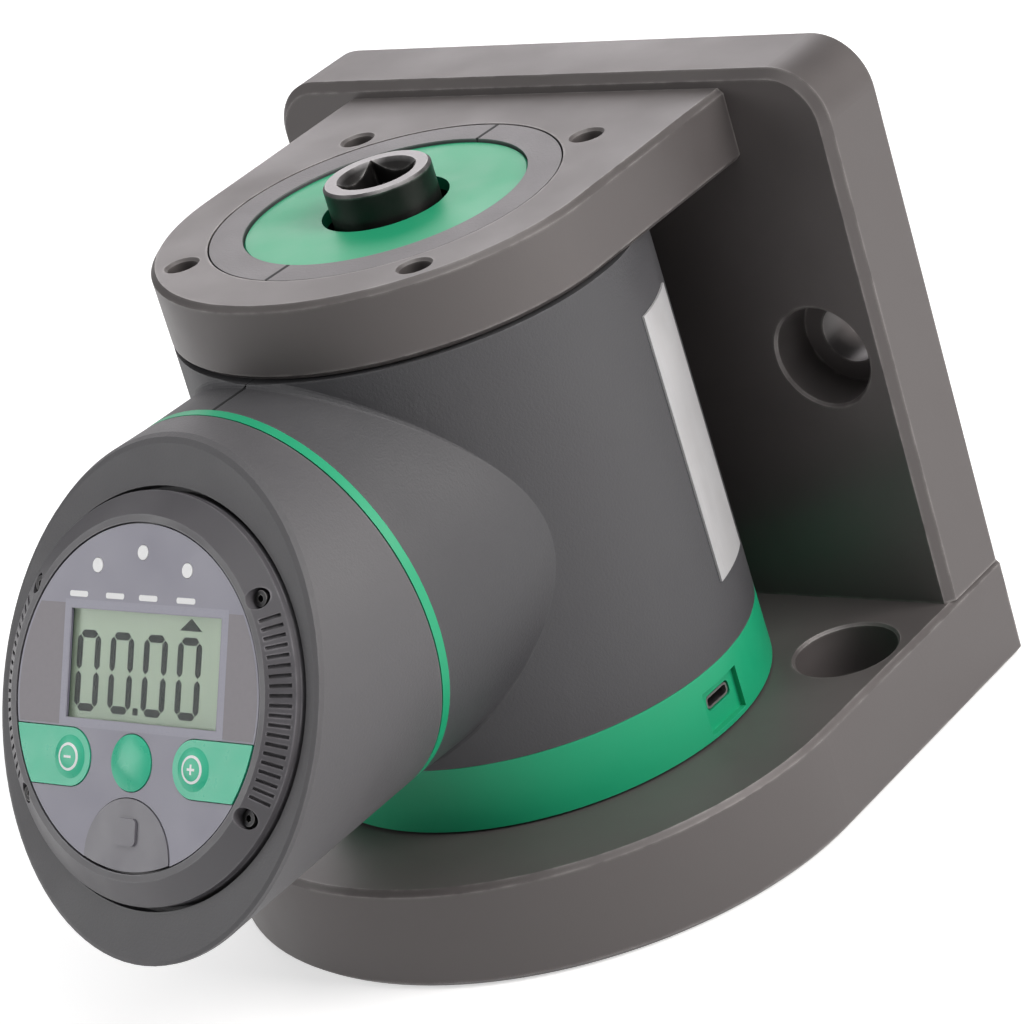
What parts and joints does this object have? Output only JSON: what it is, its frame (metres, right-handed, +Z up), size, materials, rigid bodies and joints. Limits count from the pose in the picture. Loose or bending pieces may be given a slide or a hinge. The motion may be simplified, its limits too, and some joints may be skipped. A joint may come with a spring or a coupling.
{
  "type": "torque tester",
  "caption": "Bench or wall torque tester: plate bracket, upright measuring column with a square drive on top, and a slanted round display head with keys.",
  "frame": {"origin": "where the measuring axis meets the underside of the base plate", "axes": "+Z up along the measuring axis; +Y towards the back plate; the display looks towards -Y; +X to the right, where the charging port is"},
  "size_m": [0.153, 0.2064, 0.1558],
  "materials": {
    "plate_grey": "thick plate, dark grey anodised, satin with milled edges",
    "screw_black": "black oxide",
    "steel_ground": "ground steel, light oil",
    "foil_amber": "foil gauge on amber film",
    "bearing_steel": "polished bearing steel",
    "socket_black": "black oxide, bright where worn at the mouth",
    "shell_grey": "moulded, fine spark texture",
    "trim_green": "moulded, satin",
    "bush_white": "low-friction bush plastic",
    "plate_blank": "thin blank foil plate",
    "board_green": "solder mask",
    "battery_blue": "shrink sleeve",
    "usb_steel": "plated shell",
    "collar_grey": "moulded, fine spark texture, polished rim",
    "head_grey": "moulded, satin",
    "overlay_grey": "printed film, low gloss",
    "window_clear": "clear window",
    "lcd_grey_green": "reflective display",
    "led_white": "diffuse cap",
    "switch_black": "moulded",
    "key_green": "soft-touch moulding",
    "key_dark": "soft-touch moulding"
  },
  "bodies": {
    "bracket": {"base_plate": "plate_grey", "back_plate": "plate_grey", "top_plate": "plate_grey", "base_screws": "screw_black", "top_screws": "screw_black", "support_tube": "steel_ground", "tube_screws": "screw_black", "measuring_shaft": "steel_ground", "shaft_screws": "screw_black", "strain_gauges": "foil_amber", "guide_bearing": "bearing_steel", "drive_socket": "socket_black"},
    "housing": {"housing_left": "shell_grey", "housing_right": "shell_grey", "base_ring": "trim_green", "cover_disc": "trim_green", "pod_ring": "trim_green", "lower_bush": "bush_white", "upper_bush": "bush_white", "housing_screws": "screw_black", "name_plate": "plate_blank", "main_board": "board_green", "battery_pack": "battery_blue", "usb_socket": "usb_steel", "usb_board": "board_green"},
    "collar": {"collar": "collar_grey"},
    "display_head": {"head_pan": "head_grey", "hub_retainer": "steel_ground", "retainer_screws": "screw_black", "head_ring": "head_grey", "head_screws": "screw_black", "overlay": "overlay_grey", "lcd_window": "window_clear", "lcd_module": "lcd_grey_green", "led_lights": "led_white", "display_board": "board_green", "board_screws": "screw_black", "key_switches": "switch_black"},
    "minus_button": {"minus_key": "key_green"},
    "mode_button": {"mode_key": "key_green"},
    "plus_button": {"plus_key": "key_green"},
    "clear_button": {"clear_key": "key_dark"}
  },
  "joints": [
    {"name": "housing_swivel", "type": "hinge", "parent": "bracket", "child": "housing", "pos_m": [0, 0, 0], "axis": [0, 0, 1], "range_deg": [-85.8, 94.2]},
    {"name": "collar_turn", "type": "hinge", "parent": "housing", "child": "collar", "pos_m": [0, 0, 0.0856], "axis": [-0.0732, -0.9973, 0], "range_deg": [-165, 165]},
    {"name": "head_turn", "type": "hinge", "parent": "collar", "child": "display_head", "pos_m": [-0.0075, -0.10212, 0.0856], "axis": [-0.0631, -0.8593, 0.5075], "range_deg": [-165, 165]},
    {"name": "minus_press", "type": "slide", "parent": "display_head", "child": "minus_button", "axis": [0.0631, 0.8593, -0.5075], "range_m": [0, 0.0005], "stiffness_N_per_m": 4000, "springref_m": -0.0003},
    {"name": "mode_press", "type": "slide", "parent": "display_head", "child": "mode_button", "axis": [0.0631, 0.8593, -0.5075], "range_m": [0, 0.0005], "stiffness_N_per_m": 4000, "springref_m": -0.0003},
    {"name": "plus_press", "type": "slide", "parent": "display_head", "child": "plus_button", "axis": [0.0631, 0.8593, -0.5075], "range_m": [0, 0.0005], "stiffness_N_per_m": 4000, "springref_m": -0.0003},
    {"name": "clear_press", "type": "slide", "parent": "display_head", "child": "clear_button", "axis": [0.0631, 0.8593, -0.5075], "range_m": [0, 0.0005], "stiffness_N_per_m": 4000, "springref_m": -0.0003}
  ]
}
